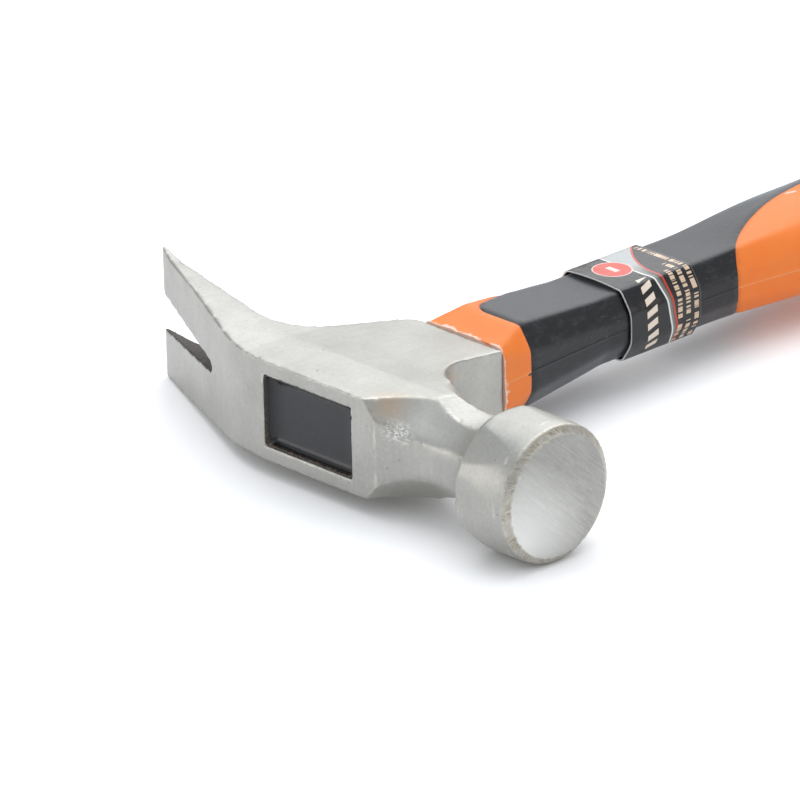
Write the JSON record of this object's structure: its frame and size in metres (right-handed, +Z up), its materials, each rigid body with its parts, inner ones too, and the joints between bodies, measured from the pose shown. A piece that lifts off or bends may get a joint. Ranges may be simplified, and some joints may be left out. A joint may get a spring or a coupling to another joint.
{
  "type": "rip hammer",
  "caption": "Rip hammer with a forged claw head, an open nail slot, and a glass fibre handle in an orange and black two-colour grip.",
  "frame": {"origin": "middle of the underside of the whole hammer's box, lying on its side", "axes": "+X towards the striking face, +Y along the handle towards the butt, +Z up, square to the head's cheeks"},
  "size_m": [0.1256, 0.33, 0.0284],
  "materials": {
    "forged_steel": "ground and clear lacquered, with fine belt marks",
    "resin": "poured epoxy, smooth and glossy with a raised rim",
    "glass_fibre": "pultruded rod, lengthwise fibres",
    "orange_jacket": "moulded, satin",
    "black_rubber": "soft moulded grip, finely grained",
    "printed_card": "glossy printed card"
  },
  "bodies": {
    "hammer": {"head": "forged_steel", "eye_resin": "resin", "core_rod": "glass_fibre", "jacket": "orange_jacket", "grip": "black_rubber"},
    "band": {"card_band": "printed_card"}
  },
  "joints": [
    {"name": "band_slide", "type": "slide", "parent": "hammer", "child": "band", "axis": [0, 1, 0], "range_m": [-0.004, 0.004]}
  ]
}
